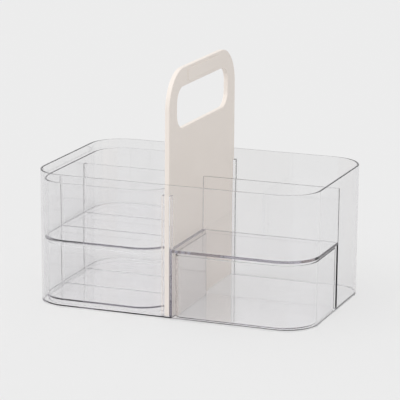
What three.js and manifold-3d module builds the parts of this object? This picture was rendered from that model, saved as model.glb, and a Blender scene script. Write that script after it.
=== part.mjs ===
// Cleaning caddy: a clear moulded body with an upright handle plate across its
// middle, two stacked lift-out trays on the left, two open compartments on the
// right and a pull-out drawer under the front one.
// Units are millimetres. +Z is up, +X runs along the caddy, -Y is its front.
// The origin is the bottom centre of the body.

import * as THREE from 'three';
import { mergeVertices } from 'three/addons/utils/BufferGeometryUtils.js';
import Module from 'manifold-3d';

const wasm = await Module();
wasm.setup();

// ---------- driving dimensions ----------

const CLEARANCE = 0.3;            // least gap between two pieces that touch

const BODY = {
  length: 280,
  depth: 177.6,
  height: 129.7,
  corner: 33.5,                   // corner radius at the rim
  wall: 1.9,
  draft: 0.8,                     // how far the wall slopes in from the rim to the foot
  footBevel: 1.2,
  floor: 2.2,
};

const PLATE = {
  thickness: 4.7,
  top: 234,
  topCorner: 36.5,
  edgeBevel: 0.7,
};

const HAND_SLOT = { halfLength: 67.2, bottom: 177.2, top: 216.2, corner: 15 };

const GRIP_PAD = { halfLength: 41, bottom: 219.4, top: 231.2, corner: 3, rise: 0.8 };

const RIB = { width: 2.3, depth: 3.5, top: 119 };   // pairs that hold the plate's two edges

const DIVIDER = { front: 0, back: 2, top: 119.6 };  // wall between the two right compartments

const BAY = {                     // the drawer's space under the front right compartment
  wallLeft: 2.7,
  wallRight: 5.9,
  shelfBottom: 65.3,
  shelfTop: 67.6,
};

const DRAWER = {
  left: 6.5,
  right: 138.4,
  front: -88.0,
  back: -0.8,
  top: 62.9,
  wall: 1.8,
  floor: 1.2,
  draft: 0.5,
  leftCorner: 8,
  rightCorner: 33,
  backCorner: 4,
};

const TRAY = {
  left: -136.4,
  right: -5.5,
  halfDepth: 85.2,
  corner: 31,
  wall: 1.8,
  draft: 0.9,
  foot: 4.0,                      // height of the stacking foot below the step
  footInset: 1.5,
  side: 57.2,                     // from the step to the rim
  pitch: 57.5,                    // from one tray to the next in the stack
  floorBelowStep: 0.7,
  floorAboveStep: 1.3,
};

const TRAY_DIVIDER = {
  offset: 29,                     // distance of each divider from the middle of the tray
  thickness: 1.6,
  belowRim: 6.6,
  guideWidth: 1.2,
  guideDepth: 1.2,
};

const ARC_STEPS = 10;             // straight steps in one rounded corner
const SMALLEST_CORNER = 0.4;      // least radius that an inset corner keeps
const OVERRUN = 2;                // how far a cutting tool runs past the face it cuts

const REST_HEIGHT = BODY.floor + CLEARANCE;   // where everything that stands on the floor starts

// ---------- materials ----------

const clearPlastic = () => new THREE.MeshStandardMaterial({
  color: 0xe9ebed,
  roughness: 0.06,
  metalness: 0,
  transparent: true,
  opacity: 0.35,
});

const creamPlastic = () => new THREE.MeshStandardMaterial({
  color: 0xd8cfc5,
  roughness: 0.42,
  metalness: 0,
});

// ---------- outlines and solids ----------

// A rectangle with its own radius at each corner, counter-clockwise from the
// back right corner. A corner of radius 0 is one point, and any other has
// ARC_STEPS steps, so two outlines with the same sharp corners can be lofted.
function roundedOutline({ left, right, front, back, corners }) {
  const [backRight, backLeft, frontLeft, frontRight] = corners;
  const centres = [
    [right - backRight, back - backRight, backRight],
    [left + backLeft, back - backLeft, backLeft],
    [left + frontLeft, front + frontLeft, frontLeft],
    [right - frontRight, front + frontRight, frontRight],
  ];
  const points = [];
  centres.forEach(([x, y, radius], quarter) => {
    const steps = radius > 0 ? ARC_STEPS : 0;
    for (let step = 0; step <= steps; step += 1) {
      const angle = (quarter + step / ARC_STEPS) * Math.PI / 2;
      points.push([x + radius * Math.cos(angle), y + radius * Math.sin(angle)]);
    }
  });
  return points;
}

// The same rectangle moved in by a distance on every side.
function inset(area, distance) {
  return {
    left: area.left + distance,
    right: area.right - distance,
    front: area.front + distance,
    back: area.back - distance,
    corners: area.corners.map((radius) => Math.max(radius - distance, SMALLEST_CORNER)),
  };
}

// A closed solid between two outlines at two heights.
function loft(lowArea, highArea, lowZ, highZ) {
  const low = roundedOutline(lowArea);
  const high = roundedOutline(highArea);
  const count = low.length;
  const positions = [];
  low.forEach(([x, y]) => positions.push(x, y, lowZ));
  high.forEach(([x, y]) => positions.push(x, y, highZ));
  const faces = [];
  for (let i = 0; i < count; i += 1) {
    const next = (i + 1) % count;
    faces.push(i, next, count + next, i, count + next, count + i);
  }
  for (let i = 1; i < count - 1; i += 1) {
    faces.push(0, i + 1, i);
    faces.push(count, count + i, count + i + 1);
  }
  const geometry = new THREE.BufferGeometry();
  geometry.setAttribute('position', new THREE.Float32BufferAttribute(positions, 3));
  geometry.setIndex(faces);
  return toSolid(geometry);
}

function block(left, right, front, back, lowZ, highZ) {
  const geometry = new THREE.BoxGeometry(right - left, back - front, highZ - lowZ);
  geometry.translate((left + right) / 2, (front + back) / 2, (lowZ + highZ) / 2);
  return toSolid(geometry);
}

function toSolid(geometry) {
  geometry.deleteAttribute('normal');
  geometry.deleteAttribute('uv');
  const merged = mergeVertices(geometry, 1e-4);
  return new wasm.Manifold(new wasm.Mesh({
    numProp: 3,
    vertProperties: new Float32Array(merged.attributes.position.array),
    triVerts: new Uint32Array(merged.index.array),
  }));
}

function toMesh(name, solid, material) {
  const { vertProperties, triVerts } = solid.getMesh();
  const geometry = new THREE.BufferGeometry();
  geometry.setAttribute('position', new THREE.BufferAttribute(vertProperties, 3));
  geometry.setIndex(new THREE.BufferAttribute(triVerts, 1));
  geometry.computeVertexNormals();
  const mesh = new THREE.Mesh(geometry, material);
  mesh.name = name;
  return mesh;
}

const join = (solids) => solids.reduce((whole, solid) => whole.add(solid));

// ---------- outer body ----------

function bodyArea(distance) {
  return inset({
    left: -BODY.length / 2,
    right: BODY.length / 2,
    front: -BODY.depth / 2,
    back: BODY.depth / 2,
    corners: Array(4).fill(BODY.corner),
  }, distance);
}

// How far the drafted wall has moved in from the rim at a height.
const draftAt = (z) => BODY.draft * (1 - z / BODY.height);

// Two ribs on the front wall and two on the back wall, one on each side of the plate.
function plateRibs() {
  const inner = PLATE.thickness / 2 + CLEARANCE;
  const outer = inner + RIB.width;
  const wallFace = BODY.depth / 2 - BODY.wall;
  const ribs = [];
  for (const side of [-1, 1]) {
    for (const end of [-1, 1]) {
      const xs = [side * inner, side * outer].sort((a, b) => a - b);
      const ys = [end * (wallFace - RIB.depth - BODY.draft), end * (BODY.depth / 2)]
        .sort((a, b) => a - b);
      ribs.push(block(xs[0], xs[1], ys[0], ys[1], 0, RIB.top));
    }
  }
  return join(ribs);
}

function makeOuterBody() {
  const halfLength = BODY.length / 2;
  const halfDepth = BODY.depth / 2;
  const bevelTop = bodyArea(draftAt(BODY.footBevel));
  const foot = loft(bodyArea(BODY.draft + BODY.footBevel), bevelTop, 0, BODY.footBevel);
  const envelope = foot.add(loft(bevelTop, bodyArea(0), BODY.footBevel, BODY.height));

  const cavityTop = BODY.height + OVERRUN;
  const cavity = loft(
    bodyArea(BODY.wall + draftAt(BODY.floor)),
    bodyArea(BODY.wall + draftAt(cavityTop)),
    BODY.floor,
    cavityTop,
  );

  const plateSide = PLATE.thickness / 2 + CLEARANCE;
  const divider = block(plateSide, halfLength, DIVIDER.front, DIVIDER.back, 0, DIVIDER.top);
  const shelf = block(BAY.wallLeft, halfLength, -halfDepth, DIVIDER.back, BAY.shelfBottom, BAY.shelfTop);
  const bayWall = block(BAY.wallLeft, BAY.wallRight, -halfDepth, DIVIDER.back, 0, BAY.shelfTop);
  const fittings = join([divider, shelf, bayWall, plateRibs()]).intersect(envelope);

  const bay = block(
    BAY.wallRight,
    halfLength + OVERRUN,
    -halfDepth - OVERRUN,
    DIVIDER.front,
    BODY.floor,
    BAY.shelfBottom,
  );
  return envelope.subtract(cavity).add(fittings).subtract(bay);
}

// ---------- handle plate ----------

function roundedRectanglePath(path, halfWidth, bottom, top, radius) {
  const centres = [
    [halfWidth - radius, top - radius],
    [-halfWidth + radius, top - radius],
    [-halfWidth + radius, bottom + radius],
    [halfWidth - radius, bottom + radius],
  ];
  path.moveTo(halfWidth, top - radius);
  centres.forEach(([x, y], quarter) => {
    path.absarc(x, y, radius, quarter * Math.PI / 2, (quarter + 1) * Math.PI / 2, false);
  });
  path.closePath();
  return path;
}

function plateOutline() {
  const halfAtRim = BODY.depth / 2 - BODY.wall - CLEARANCE;
  const halfAtFoot = halfAtRim - draftAt(REST_HEIGHT);
  const arcCentre = halfAtRim - PLATE.topCorner;
  const arcLevel = PLATE.top - PLATE.topCorner;
  const shape = new THREE.Shape();
  shape.moveTo(-halfAtFoot, REST_HEIGHT);
  shape.lineTo(halfAtFoot, REST_HEIGHT);
  shape.lineTo(halfAtRim, BODY.height);
  shape.absarc(arcCentre, arcLevel, PLATE.topCorner, 0, Math.PI / 2, false);
  shape.absarc(-arcCentre, arcLevel, PLATE.topCorner, Math.PI / 2, Math.PI, false);
  shape.lineTo(-halfAtRim, BODY.height);
  shape.closePath();
  return shape;
}

// Extrudes a shape drawn in the Y-Z plane to a total thickness across X = 0,
// with its edges bevelled inside the outline.
function standingSlab(shape, thickness, bevel) {
  const geometry = new THREE.ExtrudeGeometry(shape, {
    depth: thickness - 2 * bevel,
    bevelEnabled: true,
    bevelThickness: bevel,
    bevelSize: bevel,
    bevelOffset: -bevel,
    bevelSegments: 1,
    curveSegments: ARC_STEPS,
  });
  geometry.translate(0, 0, -(thickness - 2 * bevel) / 2);
  geometry.rotateX(Math.PI / 2);
  geometry.rotateZ(Math.PI / 2);
  return toSolid(geometry);
}

function makeHandlePlate() {
  const outline = plateOutline();
  outline.holes.push(roundedRectanglePath(
    new THREE.Path(),
    HAND_SLOT.halfLength,
    HAND_SLOT.bottom,
    HAND_SLOT.top,
    HAND_SLOT.corner,
  ));
  const pad = roundedRectanglePath(
    new THREE.Shape(),
    GRIP_PAD.halfLength,
    GRIP_PAD.bottom,
    GRIP_PAD.top,
    GRIP_PAD.corner,
  );
  const plate = standingSlab(outline, PLATE.thickness, PLATE.edgeBevel);
  return plate.add(standingSlab(pad, PLATE.thickness + 2 * GRIP_PAD.rise, GRIP_PAD.rise));
}

// ---------- trays ----------

function trayArea(distance) {
  return inset({
    left: TRAY.left,
    right: TRAY.right,
    front: -TRAY.halfDepth,
    back: TRAY.halfDepth,
    corners: Array(4).fill(TRAY.corner),
  }, distance);
}

const TRAY_RIM = TRAY.foot + TRAY.side;                       // height of the rim above the foot
const TRAY_FLOOR = TRAY.foot + TRAY.floorAboveStep;           // height of the floor's upper face
const trayDraftAt = (z) => TRAY.draft * (TRAY_RIM - z) / TRAY.side;
const DIVIDER_TOP = TRAY_RIM - TRAY_DIVIDER.belowRim;

// Pairs of small ribs on the end walls, with a divider between each pair.
function dividerGuides() {
  const near = TRAY_DIVIDER.thickness / 2 + CLEARANCE;
  const far = near + TRAY_DIVIDER.guideWidth;
  const reach = TRAY.wall + TRAY.draft + TRAY_DIVIDER.guideDepth;
  const guides = [];
  for (const offset of [-TRAY_DIVIDER.offset, TRAY_DIVIDER.offset]) {
    for (const [low, high] of [[-far, -near], [near, far]]) {
      const front = offset + low;
      const back = offset + high;
      guides.push(block(TRAY.left, TRAY.left + reach, front, back, TRAY.foot, DIVIDER_TOP));
      guides.push(block(TRAY.right - reach, TRAY.right, front, back, TRAY.foot, DIVIDER_TOP));
    }
  }
  return join(guides);
}

function makeTray() {
  const side = loft(trayArea(TRAY.draft), trayArea(0), TRAY.foot, TRAY_RIM);
  const footArea = trayArea(TRAY.draft + TRAY.footInset);
  const foot = loft(footArea, footArea, 0, TRAY_FLOOR);

  const cavityTop = TRAY_RIM + OVERRUN;
  const cavity = loft(
    trayArea(TRAY.wall + trayDraftAt(TRAY_FLOOR)),
    trayArea(TRAY.wall + trayDraftAt(cavityTop)),
    TRAY_FLOOR,
    cavityTop,
  );
  const recessArea = trayArea(TRAY.draft + TRAY.footInset + TRAY.wall);
  const recess = loft(recessArea, recessArea, -OVERRUN, TRAY.foot - TRAY.floorBelowStep);
  return side.add(foot).subtract(cavity).add(dividerGuides().intersect(side)).subtract(recess);
}

function makeTrayDivider(offset) {
  const lowZ = TRAY_FLOOR + CLEARANCE;
  const margin = TRAY.wall + CLEARANCE;
  const areaAt = (z) => ({
    left: TRAY.left + margin + trayDraftAt(z),
    right: TRAY.right - margin - trayDraftAt(z),
    front: offset - TRAY_DIVIDER.thickness / 2,
    back: offset + TRAY_DIVIDER.thickness / 2,
    corners: Array(4).fill(0),
  });
  return loft(areaAt(lowZ), areaAt(DIVIDER_TOP), lowZ, DIVIDER_TOP);
}

// ---------- drawer ----------

function makeDrawer() {
  const rim = {
    left: DRAWER.left,
    right: DRAWER.right,
    front: DRAWER.front,
    back: DRAWER.back,
    corners: [DRAWER.backCorner, DRAWER.backCorner, DRAWER.leftCorner, DRAWER.rightCorner],
  };
  const height = DRAWER.top - REST_HEIGHT;
  const drawerDraftAt = (z) => DRAWER.draft * (DRAWER.top - z) / height;
  const floorTop = REST_HEIGHT + DRAWER.floor;
  const cavityTop = DRAWER.top + OVERRUN;
  const shell = loft(inset(rim, DRAWER.draft), rim, REST_HEIGHT, DRAWER.top);
  const cavity = loft(
    inset(rim, DRAWER.wall + drawerDraftAt(floorTop)),
    inset(rim, DRAWER.wall + drawerDraftAt(cavityTop)),
    floorTop,
    cavityTop,
  );
  return shell.subtract(cavity);
}

// ---------- assembly ----------

const caddy = new THREE.Group();

caddy.add(toMesh('outer_body', makeOuterBody(), clearPlastic()));
caddy.add(toMesh('handle_plate', makeHandlePlate(), creamPlastic()));
caddy.add(toMesh('drawer', makeDrawer(), clearPlastic()));

['lower_tray', 'upper_tray'].forEach((name, level) => {
  const stack = new THREE.Group();
  stack.position.z = REST_HEIGHT + level * TRAY.pitch;
  stack.add(toMesh(name, makeTray(), clearPlastic()));
  stack.add(toMesh(`${name}_divider_front`, makeTrayDivider(-TRAY_DIVIDER.offset), clearPlastic()));
  stack.add(toMesh(`${name}_divider_rear`, makeTrayDivider(TRAY_DIVIDER.offset), clearPlastic()));
  caddy.add(stack);
});

export default caddy;
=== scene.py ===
from math import cos, pi, radians, sin

import bmesh
import bpy
from mathutils import Matrix, Vector


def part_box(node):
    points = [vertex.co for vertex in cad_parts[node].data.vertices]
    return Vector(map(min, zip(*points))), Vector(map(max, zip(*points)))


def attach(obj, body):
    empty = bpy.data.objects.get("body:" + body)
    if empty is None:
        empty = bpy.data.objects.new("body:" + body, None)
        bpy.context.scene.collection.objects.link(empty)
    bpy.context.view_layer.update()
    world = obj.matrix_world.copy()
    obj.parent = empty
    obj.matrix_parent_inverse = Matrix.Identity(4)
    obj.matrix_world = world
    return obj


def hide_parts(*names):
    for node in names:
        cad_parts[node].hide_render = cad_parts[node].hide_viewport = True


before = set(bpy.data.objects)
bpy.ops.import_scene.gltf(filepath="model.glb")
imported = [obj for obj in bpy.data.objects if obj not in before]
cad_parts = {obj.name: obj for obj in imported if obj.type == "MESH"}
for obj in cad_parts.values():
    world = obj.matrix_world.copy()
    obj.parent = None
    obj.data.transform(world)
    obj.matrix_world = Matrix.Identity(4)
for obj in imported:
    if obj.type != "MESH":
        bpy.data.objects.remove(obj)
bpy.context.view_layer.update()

# Lengths are in metres, in the CAD model's frame: +X along the caddy, -Y its front, +Z up.
MM = 0.001

# ---------- sizes that the frame's boxes don't give ----------

ARC_STEPS = 28                    # steps in one rounded corner
PLATE_FOOT_STEPS = 6              # steps in one lower corner of the handle plate
FILLET_STEPS = 5                  # steps in one small fillet
SMALLEST_RADIUS = 0.2 * MM        # a corner moved inwards never gets sharper than this
MERGE_DISTANCE = 0.002 * MM
FLAT_FACE_WEIGHT = 90             # how strongly large flat faces keep their shading flat

BODY_CORNER = 33.5 * MM
BODY_WALL = 1.9 * MM
BODY_DRAFT = 0.8 * MM             # how far the wall slopes in from the rim to the foot
BODY_FLOOR = 2.2 * MM
BODY_RECESS = 1.2 * MM            # the underside inside the foot rim, above the ground
BODY_FOOT_FILLET = 0.8 * MM
BODY_INNER_FILLET = 0.9 * MM
RIM_ROUND = 0.6 * MM              # rounding of every moulded rim

PLATE_TOP_CORNER = 36.5 * MM
PLATE_FOOT_CORNER = 2 * MM
PLATE_EDGE_ROUND = 0.7 * MM
SLOT_HALF_LENGTH = 67.2 * MM
SLOT_BOTTOM = 177.2 * MM
SLOT_TOP = 216.2 * MM
SLOT_CORNER = 15 * MM
PAD_HALF_LENGTH = 41 * MM
PAD_BOTTOM = 219.4 * MM
PAD_TOP = 231.2 * MM
PAD_CORNER = 3 * MM
PAD_RISE = 0.8 * MM               # how far the grip pad stands out from each face of the plate

RIB_WIDTH = 2.3 * MM
RIB_DEPTH = 3.5 * MM
RIB_TOP = 119 * MM
PLATE_GAP = 0.3 * MM              # between the plate's face and a rib

DIVIDER_FRONT = 0
DIVIDER_BACK = 2 * MM
DIVIDER_TOP = 119.6 * MM
DIVIDER_ROUND = 0.5 * MM
BAY_WALL_LEFT = 2.7 * MM
BAY_WALL_RIGHT = 5.9 * MM
BAY_CUT_LIFT = 0.05 * MM          # the bay's cut stops this far above the body's floor
BAY_CUT_REACH = 5 * MM            # how far the bay's cut runs out past the body
SHELF_BOTTOM = 65.3 * MM
SHELF_TOP = 67.6 * MM

TRAY_CORNER = 31 * MM
TRAY_WALL = 1.8 * MM
TRAY_DRAFT = 0.9 * MM
TRAY_FOOT = 4 * MM                # height of the stacking foot below the step
TRAY_FOOT_INSET = 1.5 * MM
TRAY_EDGE_ROUND = 0.2 * MM        # rounding of the edges of the foot and the step
TRAY_FLOOR_UNDER = 3.3 * MM       # underside of the floor above the foot's end
TRAY_FLOOR_OVER = 5.3 * MM        # upper face of the floor above the foot's end
TRAY_INNER_FILLET = 0.4 * MM
TRAY_OVERLAP = 0.6 * MM           # how far guides and groove cutters reach past the tray's faces
STRIP_OFFSET = 29 * MM            # the dividers' distance from the tray's middle
STRIP_BELOW_RIM = 6.6 * MM
STRIP_TOP_ROUND = 0.35 * MM
GROOVE_DEPTH = 0.5 * MM           # shallow groove in the tray floor under each divider
GUIDE_WIDTH = 1.2 * MM
GUIDE_DEPTH = 1.2 * MM
GUIDE_GAP = 0.3 * MM

DRAWER_WALL = 1.8 * MM
DRAWER_FLOOR = 1.2 * MM
DRAWER_DRAFT = 0.5 * MM
DRAWER_CORNERS = (4 * MM, 4 * MM, 8 * MM, 33 * MM)   # in the order that Area takes them
DRAWER_INNER_FILLET = 0.3 * MM
DRAWER_FOOT_FILLET = 2 * MM

# ---------- surfaces ----------

CLEAR_ROUGHNESS = 0.01
CLEAR_IOR = 1.5
CLEAR_FACING = (1.0, 1.0, 1.0, 1)           # tint of a face looked through straight on
CLEAR_GRAZING_SHADE = (0.60, 0.58, 0.62, 1)       # painted shade: a darker tint of a face looked at along its plane, in place of the darker surroundings it would mirror
CLEAR_GRAZING_POWER = 6.0                   # the higher, the later the painted grazing shade sets in
CLEAR_SHADOW = (0.999, 0.999, 0.999, 1)     # what one face lets through of the light behind it
CLEAR_EDGE_COLOR = (0.61, 0.59, 0.64, 1)    # tint of a long way through the plastic
CLEAR_EDGE_DENSITY = 23.0
CLEAR_WAVE_SCALE = 22                       # faint waviness of the moulded faces
CLEAR_WAVE_DETAIL = 1.5
CLEAR_WAVE_STRENGTH = 0.04
CLEAR_WAVE_HEIGHT = 0.4 * MM

CREAM_LIGHT = (0.85, 0.78, 0.72, 1)
CREAM_DARK = (0.82, 0.75, 0.69, 1)
CREAM_FLOW_SCALE = 9                        # broad, faint colour flow
CREAM_FLOW_DETAIL = 3
CREAM_FLOW_DARK_END = 0.35
CREAM_FLOW_LIGHT_END = 0.65
CREAM_GRAIN_SCALE = 1800                    # fine moulded grain
CREAM_GRAIN_DETAIL = 2
CREAM_GRAIN_STRENGTH = 0.12
CREAM_GRAIN_HEIGHT = 0.05 * MM
CREAM_LEAST_ROUGHNESS = 0.36
CREAM_MOST_ROUGHNESS = 0.48

# Sockets of a mix node for colours, by number because their names aren't unique.
MIX_FIRST = 6
MIX_SECOND = 7
MIX_RESULT = 2

# ---------- camera and light ----------

CAMERA_PLACE = Vector((0.7987, -2.0770, 0.6274))
CAMERA_YAW = radians(21.045)
CAMERA_PITCH = radians(13.436)
CAMERA_ROLL = radians(0.332)
CAMERA_LENS = 214.0
CAMERA_SENSOR = 36                # width in mm, the unit of the lens as well
CAMERA_REACH = 200

WORLD_MEAN = 0.84
WORLD_SWING = 0.45                # how far the bright side lies above the mean, and the far side below
BRIGHT_SIDE = Vector((-0.62, -0.40, 0.67)).normalized()
SUN_POWER = 0.45
SUN_ANGLE = radians(50)
FLOOR_COLOR = (0.37, 0.37, 0.37, 1)
FLOOR_GLOW = 0.42                 # the floor is a light table, lit from below as well
FLOOR_GLOW_IN_PLASTIC = 0.37      # the same glow as seen through or mirrored in polished plastic
FLOOR_HALF = 40
FLOOR_GAP = 0.05 * MM             # thin air gap under the caddy, so that its floor mirrors inside
LIGHT_BOUNCES = 200               # enough to cross every clear wall of the stack
MIRROR_BOUNCES = 32               # how often light is led on inside a clear wall before it is lost


# ---------- outlines and profiles ----------

class Area:
    """A rectangle in plan with a radius for each corner: back right, back left, front left, front right."""

    def __init__(self, low, high, corners):
        self.low = (low[0], low[1])
        self.high = (high[0], high[1])
        self.corners = corners

    def outline(self, distance):
        """The outline moved in by a distance, always with the same number of points."""
        x0, y0 = self.low[0] + distance, self.low[1] + distance
        x1, y1 = self.high[0] - distance, self.high[1] - distance
        radii = [max(r - distance, SMALLEST_RADIUS) for r in self.corners]
        centres = [
            (x1 - radii[0], y1 - radii[0]),
            (x0 + radii[1], y1 - radii[1]),
            (x0 + radii[2], y0 + radii[2]),
            (x1 - radii[3], y0 + radii[3]),
        ]
        points = []
        for quarter, ((cx, cy), radius) in enumerate(zip(centres, radii)):
            for step in range(ARC_STEPS + 1):
                angle = (quarter + step / ARC_STEPS) * pi / 2
                points.append((cx + radius * cos(angle), cy + radius * sin(angle)))
        return points


def arc(centre, radius, start, end, steps):
    angles = [radians(start + (end - start) * i / steps) for i in range(steps + 1)]
    return [(centre[0] + radius * cos(a), centre[1] + radius * sin(a)) for a in angles]


# A profile's points are (distance in from the rim's outline, height).

def fillet(centre, radius, start, end):
    return arc(centre, radius, start, end, FILLET_STEPS)


def outer_fillet(distance, height, radius):
    """Out and up round the lower outer edge of a wall."""
    return fillet((distance + radius, height + radius), radius, 270, 180)


def inner_fillet(distance, height, radius):
    """Down and in from a wall's inner face to the floor."""
    return fillet((distance + radius, height + radius), radius, 180, 270)


def rounded_rim(wall, top):
    """Up over the rim of a wall, from outside to inside."""
    points = fillet((RIM_ROUND, top - RIM_ROUND), RIM_ROUND, 180, 90)
    points += fillet((wall - RIM_ROUND, top - RIM_ROUND), RIM_ROUND, 90, 0)
    return points


# ---------- meshes ----------

def new_object(name, bm):
    bmesh.ops.recalc_face_normals(bm, faces=bm.faces)
    mesh = bpy.data.meshes.new(name)
    bm.to_mesh(mesh)
    bm.free()
    obj = bpy.data.objects.new(name, mesh)
    bpy.context.scene.collection.objects.link(obj)
    return obj


def joined_rings(name, rings):
    """A solid between rings of points, closed with a face on the first and the last ring."""
    bm = bmesh.new()
    loops = [[bm.verts.new(point) for point in ring] for ring in rings]
    count = len(loops[0])
    for low, high in zip(loops, loops[1:]):
        for i in range(count):
            j = (i + 1) % count
            bm.faces.new((low[i], low[j], high[j], high[i]))
    bm.faces.new(list(reversed(loops[0])))
    bm.faces.new(loops[-1])
    return new_object(name, bm)


def swept(name, area, profile):
    """A solid swept round an outline. The profile runs from under the floor, over the rim, to its top."""
    rings = []
    for distance, z in profile:
        rings.append([(x, y, z) for x, y in area.outline(distance)])
    return joined_rings(name, rings)


def block(name, low, high):
    """A box between two opposite corners."""
    low = Vector(low)
    high = Vector(high)
    bm = bmesh.new()
    bmesh.ops.create_cube(bm, size=1)
    bmesh.ops.scale(bm, vec=high - low, verts=bm.verts)
    bmesh.ops.translate(bm, vec=(low + high) / 2, verts=bm.verts)
    return new_object(name, bm)


def evaluated_mesh(obj):
    """A new mesh of an object with its modifiers or its curve settings applied."""
    bpy.context.view_layer.update()
    depsgraph = bpy.context.evaluated_depsgraph_get()
    return bpy.data.meshes.new_from_object(obj.evaluated_get(depsgraph))


def apply_modifiers(obj):
    old = obj.data
    mesh = evaluated_mesh(obj)
    obj.modifiers.clear()
    obj.data = mesh
    bpy.data.meshes.remove(old)
    return obj


def boolean(obj, tools, operation):
    """Joins, cuts or keeps the overlap of obj with each tool, and removes the tools."""
    for tool in tools:
        modifier = obj.modifiers.new("cut", "BOOLEAN")
        modifier.operation = operation
        modifier.solver = "EXACT"
        modifier.object = tool
        apply_modifiers(obj)
        bpy.data.objects.remove(tool)
    return obj


def rounded_edges(obj, width, segments=2, angle=35):
    modifier = obj.modifiers.new("edges", "BEVEL")
    modifier.width = width
    modifier.segments = segments
    modifier.limit_method = "ANGLE"
    modifier.angle_limit = radians(angle)
    return apply_modifiers(obj)


def smooth(obj, angle=32):
    """Smooth shading, with sharp edges kept and large flat faces kept flat."""
    obj.data.shade_smooth()
    obj.data.set_sharp_from_angle(angle=radians(angle))
    modifier = obj.modifiers.new("normals", "WEIGHTED_NORMAL")
    modifier.keep_sharp = True
    modifier.weight = FLAT_FACE_WEIGHT
    return apply_modifiers(obj)


# ---------- materials ----------

def new_material(name):
    material = bpy.data.materials.new(name)
    material.use_nodes = True
    nodes = material.node_tree.nodes
    nodes.clear()
    return material, nodes, material.node_tree.links


def noise(nodes, links, scale, detail):
    """Noise over the object's own coordinates."""
    place = nodes.new("ShaderNodeTexCoord")
    texture = nodes.new("ShaderNodeTexNoise")
    texture.inputs["Scale"].default_value = scale
    texture.inputs["Detail"].default_value = detail
    links.new(place.outputs["Object"], texture.inputs["Vector"])
    return texture


def bumps(nodes, links, texture, strength, height):
    bump = nodes.new("ShaderNodeBump")
    bump.inputs["Strength"].default_value = strength
    bump.inputs["Distance"].default_value = height
    links.new(texture.outputs["Fac"], bump.inputs["Height"])
    return bump


def clear_plastic():
    """Water-clear moulded plastic. It bends light, darkens with the way through it, passes lamp light, and
    has painted shade where a face is seen along its plane.
    """
    material, nodes, links = new_material("clear_plastic")
    output = nodes.new("ShaderNodeOutputMaterial")
    shader = nodes.new("ShaderNodeBsdfPrincipled")
    shader.inputs["Roughness"].default_value = CLEAR_ROUGHNESS
    shader.inputs["IOR"].default_value = CLEAR_IOR
    shader.inputs["Transmission Weight"].default_value = 1.0

    # Painted shade: a face seen along its plane gets a darker base colour, in place of the darker
    # surroundings it would mirror.
    slant = nodes.new("ShaderNodeLayerWeight")
    steep = nodes.new("ShaderNodeMath")
    steep.operation = "POWER"
    steep.inputs[1].default_value = CLEAR_GRAZING_POWER
    grazing_shade = nodes.new("ShaderNodeMix")
    grazing_shade.data_type = "RGBA"
    grazing_shade.inputs[MIX_FIRST].default_value = CLEAR_FACING
    grazing_shade.inputs[MIX_SECOND].default_value = CLEAR_GRAZING_SHADE
    links.new(slant.outputs["Facing"], steep.inputs[0])
    links.new(steep.outputs[0], grazing_shade.inputs[0])
    links.new(grazing_shade.outputs[MIX_RESULT], shader.inputs["Base Color"])

    flow = noise(nodes, links, CLEAR_WAVE_SCALE, CLEAR_WAVE_DETAIL)
    wave = bumps(nodes, links, flow, CLEAR_WAVE_STRENGTH, CLEAR_WAVE_HEIGHT)
    links.new(wave.outputs["Normal"], shader.inputs["Normal"])

    passing = nodes.new("ShaderNodeBsdfTransparent")
    passing.inputs["Color"].default_value = CLEAR_SHADOW
    path = nodes.new("ShaderNodeLightPath")
    either = nodes.new("ShaderNodeMath")
    either.operation = "MAXIMUM"
    mix = nodes.new("ShaderNodeMixShader")
    links.new(path.outputs["Is Shadow Ray"], either.inputs[0])
    links.new(path.outputs["Is Diffuse Ray"], either.inputs[1])
    links.new(either.outputs[0], mix.inputs[0])
    links.new(shader.outputs[0], mix.inputs[1])
    links.new(passing.outputs[0], mix.inputs[2])
    links.new(mix.outputs[0], output.inputs["Surface"])

    depth = nodes.new("ShaderNodeVolumeAbsorption")
    depth.inputs["Color"].default_value = CLEAR_EDGE_COLOR
    depth.inputs["Density"].default_value = CLEAR_EDGE_DENSITY
    links.new(depth.outputs[0], output.inputs["Volume"])
    return material


def cream_plastic():
    """Opaque satin plastic with a very fine moulded grain and a trace of colour flow."""
    material, nodes, links = new_material("cream_plastic")
    output = nodes.new("ShaderNodeOutputMaterial")
    shader = nodes.new("ShaderNodeBsdfPrincipled")
    links.new(shader.outputs[0], output.inputs["Surface"])

    flow = noise(nodes, links, CREAM_FLOW_SCALE, CREAM_FLOW_DETAIL)
    colors = nodes.new("ShaderNodeValToRGB")
    dark, light = colors.color_ramp.elements
    dark.position = CREAM_FLOW_DARK_END
    dark.color = CREAM_DARK
    light.position = CREAM_FLOW_LIGHT_END
    light.color = CREAM_LIGHT
    links.new(flow.outputs["Fac"], colors.inputs["Fac"])
    links.new(colors.outputs["Color"], shader.inputs["Base Color"])

    grain = noise(nodes, links, CREAM_GRAIN_SCALE, CREAM_GRAIN_DETAIL)
    gloss = nodes.new("ShaderNodeMapRange")
    gloss.inputs["To Min"].default_value = CREAM_LEAST_ROUGHNESS
    gloss.inputs["To Max"].default_value = CREAM_MOST_ROUGHNESS
    links.new(grain.outputs["Fac"], gloss.inputs["Value"])
    links.new(gloss.outputs["Result"], shader.inputs["Roughness"])
    bump = bumps(nodes, links, grain, CREAM_GRAIN_STRENGTH, CREAM_GRAIN_HEIGHT)
    links.new(bump.outputs["Normal"], shader.inputs["Normal"])
    return material


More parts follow.
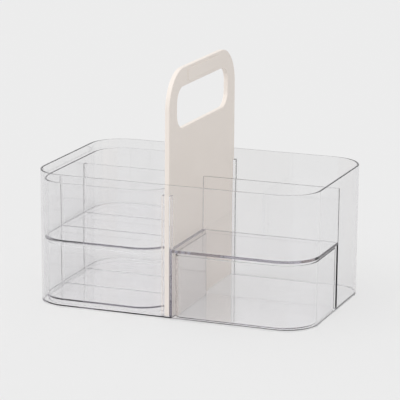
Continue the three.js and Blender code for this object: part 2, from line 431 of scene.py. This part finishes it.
def floor_paper():
    """Matt white paper that also glows, a little less where polished plastic shows it."""
    material, nodes, links = new_material("floor_paper")
    output = nodes.new("ShaderNodeOutputMaterial")
    shader = nodes.new("ShaderNodeBsdfPrincipled")
    shader.inputs["Base Color"].default_value = FLOOR_COLOR
    shader.inputs["Roughness"].default_value = 1
    shader.inputs["Specular IOR Level"].default_value = 0
    shader.inputs["Emission Color"].default_value = (1, 1, 1, 1)
    path = nodes.new("ShaderNodeLightPath")
    glow = nodes.new("ShaderNodeMath")
    glow.operation = "MULTIPLY_ADD"
    glow.inputs[1].default_value = FLOOR_GLOW_IN_PLASTIC - FLOOR_GLOW
    glow.inputs[2].default_value = FLOOR_GLOW
    links.new(path.outputs["Is Glossy Ray"], glow.inputs[0])
    links.new(glow.outputs[0], shader.inputs["Emission Strength"])
    links.new(shader.outputs[0], output.inputs["Surface"])
    return material


CLEAR = clear_plastic()
CREAM = cream_plastic()


def finish_piece(obj, node, body, material):
    obj.data.materials.clear()
    obj.data.materials.append(material)
    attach(obj, body)
    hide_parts(node)


# ---------- outer body ----------

BODY_LOW, BODY_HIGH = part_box("outer_body")
PLATE_LOW, PLATE_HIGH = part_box("handle_plate")
PLATE_HALF = PLATE_HIGH.x - PAD_RISE


def body_draft_at(z):
    return BODY_DRAFT * (1 - z / BODY_HIGH.z)


def body_area():
    return Area(BODY_LOW, BODY_HIGH, (BODY_CORNER,) * 4)


def body_foot():
    return outer_fillet(BODY_DRAFT, 0, BODY_FOOT_FILLET)


def body_form():
    """The body's outer form as a solid, which trims its fittings."""
    return swept("body_form", body_area(), body_foot() + [(0, BODY_HIGH.z)])


def body_shell():
    """The rounded wall and the floor, with a shallow recess inside the foot rim."""
    foot_inside = BODY_DRAFT + BODY_WALL
    profile = [(foot_inside, BODY_RECESS), (foot_inside, 0)]
    profile += body_foot()
    profile += rounded_rim(BODY_WALL, BODY_HIGH.z)
    profile += inner_fillet(BODY_WALL + body_draft_at(BODY_FLOOR), BODY_FLOOR, BODY_INNER_FILLET)
    return swept("outer_body_clear", body_area(), profile)


def body_fittings():
    """The lengthwise wall, the shelf, the bay's side and the plate's ribs, before they are trimmed."""
    front, back, right = BODY_LOW.y, BODY_HIGH.y, BODY_HIGH.x
    beside = PLATE_HALF + PLATE_GAP
    wall = block("wall", (beside, DIVIDER_FRONT, BODY_RECESS), (right, DIVIDER_BACK, DIVIDER_TOP))
    blocks = [
        rounded_edges(wall, DIVIDER_ROUND),
        block("shelf", (BAY_WALL_LEFT, front, SHELF_BOTTOM), (right, DIVIDER_BACK, SHELF_TOP)),
        block("bay_side", (BAY_WALL_LEFT, front, BODY_RECESS), (BAY_WALL_RIGHT, DIVIDER_BACK, SHELF_TOP)),
    ]
    reach = BODY_WALL + BODY_DRAFT + RIB_DEPTH
    for side in (-1, 1):
        x0, x1 = sorted((side * beside, side * (beside + RIB_WIDTH)))
        blocks.append(block("rib", (x0, front, BODY_RECESS), (x1, front + reach, RIB_TOP)))
        blocks.append(block("rib", (x0, back - reach, BODY_RECESS), (x1, back, RIB_TOP)))
    return blocks


def make_outer_body():
    body = body_shell()
    fittings = body_fittings()
    joined = boolean(fittings[0], fittings[1:], "UNION")
    boolean(joined, [body_form()], "INTERSECT")
    boolean(body, [joined], "UNION")
    bay = block(
        "bay",
        (BAY_WALL_RIGHT, BODY_LOW.y - BAY_CUT_REACH, BODY_FLOOR + BAY_CUT_LIFT),
        (BODY_HIGH.x + BAY_CUT_REACH, DIVIDER_FRONT, SHELF_BOTTOM),
    )
    boolean(body, [bay], "DIFFERENCE")
    smooth(body)
    finish_piece(body, "outer_body", "caddy_body", CLEAR)


# ---------- handle plate ----------

# Stands a flat drawing upright across X: its x becomes Y and its y becomes Z.
UPRIGHT = Matrix(((0, 0, 1, 0), (1, 0, 0, 0), (0, 1, 0, 0), (0, 0, 0, 1)))


def flat_piece(name, outlines, half_thickness, edge_round):
    """A flat piece standing across X, from closed outlines given as lists of (y, z), with rounded edges."""
    curve = bpy.data.curves.new(name, "CURVE")
    curve.dimensions = "2D"
    curve.fill_mode = "BOTH"
    curve.bevel_depth = edge_round
    curve.bevel_resolution = FILLET_STEPS
    curve.extrude = half_thickness - edge_round
    curve.offset = -edge_round
    for points in outlines:
        spline = curve.splines.new("POLY")
        spline.points.add(len(points) - 1)
        for point, (y, z) in zip(spline.points, points):
            point.co = (y, z, 0, 1)
        spline.use_cyclic_u = True
    holder = bpy.data.objects.new(name, curve)
    bpy.context.scene.collection.objects.link(holder)
    mesh = evaluated_mesh(holder)
    bpy.data.objects.remove(holder)
    mesh.transform(UPRIGHT)
    bm = bmesh.new()
    bm.from_mesh(mesh)
    bmesh.ops.remove_doubles(bm, verts=bm.verts, dist=MERGE_DISTANCE)
    return new_object(name, bm)


def rounded_rectangle(half_width, bottom, top, radius):
    y = half_width - radius
    low = bottom + radius
    high = top - radius
    points = []
    for quarter, centre in enumerate(((y, high), (-y, high), (-y, low), (y, low))):
        points += arc(centre, radius, quarter * 90, quarter * 90 + 90, ARC_STEPS)
    return points


def plate_outline():
    """Up one slightly flaring edge from the foot, over the rounded top and down the other edge."""
    half_rim = PLATE_HIGH.y
    half_foot = half_rim - body_draft_at(PLATE_LOW.z)
    foot_y = half_foot - PLATE_FOOT_CORNER
    foot_z = PLATE_LOW.z + PLATE_FOOT_CORNER
    top_y = half_rim - PLATE_TOP_CORNER
    top_z = PLATE_HIGH.z - PLATE_TOP_CORNER
    outline = arc((foot_y, foot_z), PLATE_FOOT_CORNER, 270, 360, PLATE_FOOT_STEPS)
    outline += [(half_rim, BODY_HIGH.z)]
    outline += arc((top_y, top_z), PLATE_TOP_CORNER, 0, 90, ARC_STEPS)
    outline += arc((-top_y, top_z), PLATE_TOP_CORNER, 90, 180, ARC_STEPS)
    outline += [(-half_rim, BODY_HIGH.z)]
    outline += arc((-foot_y, foot_z), PLATE_FOOT_CORNER, 180, 270, PLATE_FOOT_STEPS)
    return outline


def make_handle_plate():
    slot = rounded_rectangle(SLOT_HALF_LENGTH, SLOT_BOTTOM, SLOT_TOP, SLOT_CORNER)
    plate = flat_piece("handle_plate_cream", [plate_outline(), slot], PLATE_HALF, PLATE_EDGE_ROUND)
    pad_outline = rounded_rectangle(PAD_HALF_LENGTH, PAD_BOTTOM, PAD_TOP, PAD_CORNER)
    pad = flat_piece("pad", [pad_outline], PLATE_HALF + PAD_RISE, PAD_RISE)
    boolean(plate, [pad], "UNION")
    smooth(plate)
    finish_piece(plate, "handle_plate", "caddy_body", CREAM)


# ---------- trays and their dividers ----------

STRIP_LOW, STRIP_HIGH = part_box("upper_tray_divider_front")
STRIP_HALF = (STRIP_HIGH.y - STRIP_LOW.y) / 2
GUIDE_NEAR = STRIP_HALF + GUIDE_GAP                        # from a divider's middle to its guides
GUIDE_REACH = TRAY_WALL + TRAY_DRAFT + GUIDE_DEPTH         # from the rim's outline to a guide's end


def tray_draft_at(height, tray_height):
    return TRAY_DRAFT * (tray_height - height) / (tray_height - TRAY_FOOT)


def tray_profile(tall):
    """From under the floor, round the stacking foot and its step, over the rim and down to the floor."""
    foot_out = TRAY_DRAFT + TRAY_FOOT_INSET
    foot_in = foot_out + TRAY_WALL
    edge = TRAY_EDGE_ROUND
    inner = TRAY_WALL + tray_draft_at(TRAY_FLOOR_OVER, tall)
    profile = [(foot_in + edge, TRAY_FLOOR_UNDER), (foot_in, TRAY_FLOOR_UNDER - edge)]
    profile += fillet((foot_in - edge, edge), edge, 0, -90)
    profile += outer_fillet(foot_out, 0, edge)
    profile += [(foot_out, TRAY_FOOT)]
    profile += outer_fillet(TRAY_DRAFT, TRAY_FOOT, edge)
    profile += rounded_rim(TRAY_WALL, tall)
    profile += inner_fillet(inner, TRAY_FLOOR_OVER, TRAY_INNER_FILLET)
    return profile


def tray_guides(low, high, floor):
    """A pair of upright guides for each end of the two dividers, sunk a little into the wall and floor."""
    far = GUIDE_NEAR + GUIDE_WIDTH
    left = low.x + TRAY_DRAFT + TRAY_OVERLAP
    right = high.x - TRAY_DRAFT - TRAY_OVERLAP
    bottom = floor - TRAY_OVERLAP
    top = high.z - STRIP_BELOW_RIM
    guides = []
    for middle in (-STRIP_OFFSET, STRIP_OFFSET):
        for y0, y1 in ((middle - far, middle - GUIDE_NEAR), (middle + GUIDE_NEAR, middle + far)):
            guides.append(block("guide", (left, y0, bottom), (low.x + GUIDE_REACH, y1, top)))
            guides.append(block("guide", (high.x - GUIDE_REACH, y0, bottom), (right, y1, top)))
    return guides


def tray_grooves(low, high, floor):
    """What is cut from the floor under the two dividers."""
    grooves = []
    for middle in (-STRIP_OFFSET, STRIP_OFFSET):
        start = (low.x + GUIDE_REACH, middle - GUIDE_NEAR, floor - GROOVE_DEPTH)
        end = (high.x - GUIDE_REACH, middle + GUIDE_NEAR, floor + TRAY_OVERLAP)
        grooves.append(block("groove", start, end))
    return grooves


def make_tray(node, body):
    low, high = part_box(node)
    area = Area(low, high, (TRAY_CORNER,) * 4)
    profile = [(distance, low.z + z) for distance, z in tray_profile(high.z - low.z)]
    floor = low.z + TRAY_FLOOR_OVER
    tray = swept(node + "_clear", area, profile)
    boolean(tray, tray_guides(low, high, floor), "UNION")
    boolean(tray, tray_grooves(low, high, floor), "DIFFERENCE")
    smooth(tray)
    finish_piece(tray, node, body, CLEAR)


def make_strip(node, body, tray_node):
    """A divider: a thin strip with a rounded top that narrows downwards with the tray's drafted end walls."""
    low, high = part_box(node)
    tray_low, tray_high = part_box(tray_node)
    tall = tray_high.z - tray_low.z
    draft_at_top = tray_draft_at(high.z - tray_low.z, tall)
    round_z = high.z - STRIP_TOP_ROUND
    section = fillet((high.y - STRIP_TOP_ROUND, round_z), STRIP_TOP_ROUND, 0, 90)
    section += fillet((low.y + STRIP_TOP_ROUND, round_z), STRIP_TOP_ROUND, 90, 180)
    section += [(low.y, low.z), (high.y, low.z)]
    rings = []
    for end, inward in ((low.x, 1), (high.x, -1)):
        ring = []
        for y, z in section:
            narrowing = tray_draft_at(z - tray_low.z, tall) - draft_at_top
            ring.append((end + inward * narrowing, y, z))
        rings.append(ring)
    strip = joined_rings(node + "_clear", rings)
    smooth(strip)
    finish_piece(strip, node, body, CLEAR)


# ---------- drawer ----------

def make_drawer():
    low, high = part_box("drawer")
    profile = outer_fillet(DRAWER_DRAFT, low.z, DRAWER_FOOT_FILLET)
    profile += rounded_rim(DRAWER_WALL, high.z)
    profile += inner_fillet(DRAWER_WALL + DRAWER_DRAFT, low.z + DRAWER_FLOOR, DRAWER_INNER_FILLET)
    drawer = swept("drawer_clear", Area(low, high, DRAWER_CORNERS), profile)
    smooth(drawer)
    finish_piece(drawer, "drawer", "drawer", CLEAR)


# ---------- stage ----------

def make_floor():
    bm = bmesh.new()
    corners = [(-1, -1), (1, -1), (1, 1), (-1, 1)]
    bm.faces.new([bm.verts.new((x * FLOOR_HALF, y * FLOOR_HALF, -FLOOR_GAP)) for x, y in corners])
    floor = new_object("floor", bm)
    floor.data.materials.append(floor_paper())


def make_world():
    """An even white room, brighter towards the bright side."""
    world = bpy.data.worlds.new("studio")
    world.use_nodes = True
    nodes, links = world.node_tree.nodes, world.node_tree.links
    direction = nodes.new("ShaderNodeTexCoord")
    toward = nodes.new("ShaderNodeVectorMath")
    toward.operation = "DOT_PRODUCT"
    toward.inputs[1].default_value = BRIGHT_SIDE
    level = nodes.new("ShaderNodeMath")
    level.operation = "MULTIPLY_ADD"
    level.inputs[1].default_value = WORLD_SWING
    level.inputs[2].default_value = WORLD_MEAN
    links.new(direction.outputs["Generated"], toward.inputs[0])
    links.new(toward.outputs["Value"], level.inputs[0])
    links.new(level.outputs[0], nodes["Background"].inputs["Strength"])
    nodes["Background"].inputs["Color"].default_value = (1, 1, 1, 1)
    bpy.context.scene.world = world


def make_sun():
    light = bpy.data.lights.new("key", "SUN")
    light.energy = SUN_POWER
    light.angle = SUN_ANGLE
    sun = bpy.data.objects.new("key", light)
    sun.rotation_euler = BRIGHT_SIDE.to_track_quat("Z", "Y").to_euler()
    bpy.context.scene.collection.objects.link(sun)


def make_camera():
    lens = bpy.data.cameras.new("camera")
    lens.lens = CAMERA_LENS
    lens.sensor_width = CAMERA_SENSOR
    lens.clip_end = CAMERA_REACH
    camera = bpy.data.objects.new("camera", lens)
    turn = Matrix.Rotation(CAMERA_YAW, 4, "Z") @ Matrix.Rotation(pi / 2 - CAMERA_PITCH, 4, "X")
    turn = turn @ Matrix.Rotation(CAMERA_ROLL, 4, "Z")
    camera.matrix_world = Matrix.Translation(CAMERA_PLACE) @ turn
    bpy.context.scene.collection.objects.link(camera)
    bpy.context.scene.camera = camera


def set_light_paths():
    scene = bpy.context.scene
    scene.view_settings.view_transform = "Standard"
    scene.cycles.max_bounces = LIGHT_BOUNCES
    scene.cycles.transmission_bounces = LIGHT_BOUNCES
    scene.cycles.glossy_bounces = MIRROR_BOUNCES
    scene.cycles.transparent_max_bounces = LIGHT_BOUNCES


make_camera()
make_world()
make_sun()
make_floor()
set_light_paths()

make_outer_body()
make_handle_plate()
make_drawer()
for level in ("lower", "upper"):
    tray = level + "_tray"
    make_tray(tray, tray)
    for side in ("front", "rear"):
        make_strip(f"{tray}_divider_{side}", f"{level}_divider_{side}", tray)
